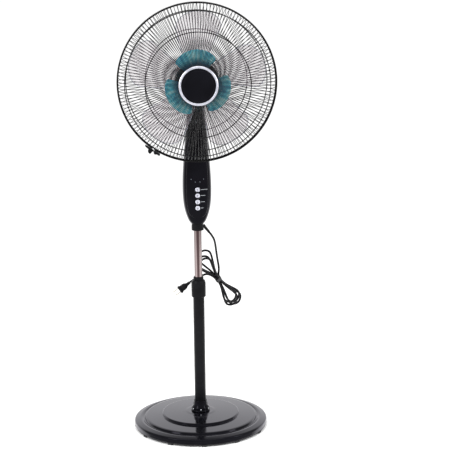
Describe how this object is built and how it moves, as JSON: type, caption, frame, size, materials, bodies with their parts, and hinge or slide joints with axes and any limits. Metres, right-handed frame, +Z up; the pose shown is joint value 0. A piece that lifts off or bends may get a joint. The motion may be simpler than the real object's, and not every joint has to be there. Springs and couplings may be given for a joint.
{
  "type": "pedestal fan",
  "caption": "Pedestal fan with a round weighted base, a telescopic pole, a control column, a wire guard and clear double blades that swing and tilt.",
  "frame": {"origin": "on the floor, under the axis of the pole", "axes": "+Z up along the pole, the fan blows towards -Y, +X to the right of someone who faces it"},
  "size_m": [0.424, 0.376, 1.202],
  "materials": {
    "gloss_black": "high gloss moulded ABS",
    "satin_black": "satin moulded ABS",
    "matt_black": "fine moulded grain",
    "black_enamel": "gloss black powder coat on steel",
    "tinted_chrome": "polished, warm tinted plating",
    "clear_styrene": "clear, polished mould",
    "teal_styrene": "clear teal tint",
    "silver_plating": "satin silver plating on plastic",
    "cord_pvc": "satin black flexible PVC",
    "grey_acetal": "grey acetal",
    "natural_acetal": "natural acetal",
    "zinc_steel": "zinc plated steel",
    "die_cast": "die cast",
    "cast_weight": "rough cast",
    "winding": "enamelled copper wire on laminations",
    "board_green": "solder mask",
    "led_lens": "smoked lens"
  },
  "bodies": {
    "base": {"base_cover": "gloss_black", "base_tray": "matt_black", "base_weight": "cast_weight", "base_bolt": "zinc_steel", "pole_socket": "satin_black", "outer_pole": "black_enamel", "pole_bush": "grey_acetal", "collet": "satin_black"},
    "height_lock": {"lock_collar": "satin_black"},
    "mast": {"inner_pole": "tinted_chrome", "inner_pole_bush": "grey_acetal", "front_shell": "gloss_black", "rear_shell": "satin_black", "fascia": "gloss_black", "control_board": "board_green", "led_1": "led_lens", "led_2": "led_lens", "led_3": "led_lens", "led_4": "led_lens", "neck_collar": "satin_black", "collar_screw": "zinc_steel", "pan_bush": "grey_acetal", "osc_motor": "zinc_steel", "cord_gland": "cord_pvc", "cord_lead": "cord_pvc", "cord_tail": "cord_pvc", "cord_hank": "cord_pvc", "cord_tie": "matt_black", "plug_body": "cord_pvc", "plug_blade_a": "zinc_steel", "plug_blade_b": "zinc_steel"},
    "power_button": {"button_1": "silver_plating"},
    "speed_button": {"button_2": "silver_plating"},
    "swing_button": {"button_3": "silver_plating"},
    "timer_button": {"button_4": "silver_plating"},
    "pinion": {"osc_pinion": "natural_acetal"},
    "swivel": {"yoke": "satin_black", "pan_gear": "grey_acetal", "tilt_bolt": "zinc_steel", "tilt_nut": "zinc_steel"},
    "head": {"motor_housing": "satin_black", "motor_front_plate": "die_cast", "bearing_front": "zinc_steel", "motor_rear_plate": "zinc_steel", "bearing_rear": "zinc_steel", "stator": "winding", "rear_guard": "black_enamel", "front_guard": "black_enamel", "guard_nut": "matt_black", "guard_hoop": "black_enamel", "badge_ring": "silver_plating", "badge_disc": "gloss_black", "clip_base": "satin_black"},
    "clip": {"clip_lever": "satin_black"},
    "rotor": {"rotor_core": "zinc_steel", "shaft": "zinc_steel", "main_blade": "clear_styrene", "hub_cap": "gloss_black", "front_blade": "teal_styrene", "spinner_nut": "gloss_black"}
  },
  "joints": [
    {"name": "height_slide", "type": "slide", "parent": "base", "child": "mast", "axis": [0, 0, 1], "range_m": [-0.125, 0.1]},
    {"name": "lock_turn", "type": "hinge", "parent": "base", "child": "height_lock", "pos_m": [0, 0, 0.4], "axis": [0, 0, 1], "range_deg": [0, 90]},
    {"name": "head_pan", "type": "hinge", "parent": "mast", "child": "swivel", "pos_m": [0, 0, 0.909], "axis": [0, 0, 1], "range_deg": [-40, 40]},
    {"name": "pinion_spin", "type": "hinge", "parent": "mast", "child": "pinion", "pos_m": [0, 0.017, 0.884], "axis": [0, 0, 1], "range_deg": [-120, 120]},
    {"name": "head_tilt", "type": "hinge", "parent": "swivel", "child": "head", "pos_m": [0, 0, 0.926], "axis": [-1, 0, 0], "range_deg": [-10, 25]},
    {"name": "fan_spin", "type": "hinge", "parent": "head", "child": "rotor", "pos_m": [0, 0, 0.99], "axis": [0, -1, 0], "continuous": true},
    {"name": "clip_open", "type": "hinge", "parent": "head", "child": "clip", "pos_m": [-0.11821, -0.109, 0.81024], "axis": [0, -1, 0], "range_deg": [0, 55]},
    {"name": "power_press", "type": "slide", "parent": "mast", "child": "power_button", "axis": [0, 1, 0], "range_m": [0, 0.0015], "stiffness_N_per_m": 400},
    {"name": "speed_press", "type": "slide", "parent": "mast", "child": "speed_button", "axis": [0, 1, 0], "range_m": [0, 0.0015], "stiffness_N_per_m": 400},
    {"name": "swing_press", "type": "slide", "parent": "mast", "child": "swing_button", "axis": [0, 1, 0], "range_m": [0, 0.0015], "stiffness_N_per_m": 400},
    {"name": "timer_press", "type": "slide", "parent": "mast", "child": "timer_button", "axis": [0, 1, 0], "range_m": [0, 0.0015], "stiffness_N_per_m": 400}
  ],
  "couplings": [
    {"joint": "pinion_spin", "follows": "head_pan", "ratio": -3}
  ]
}
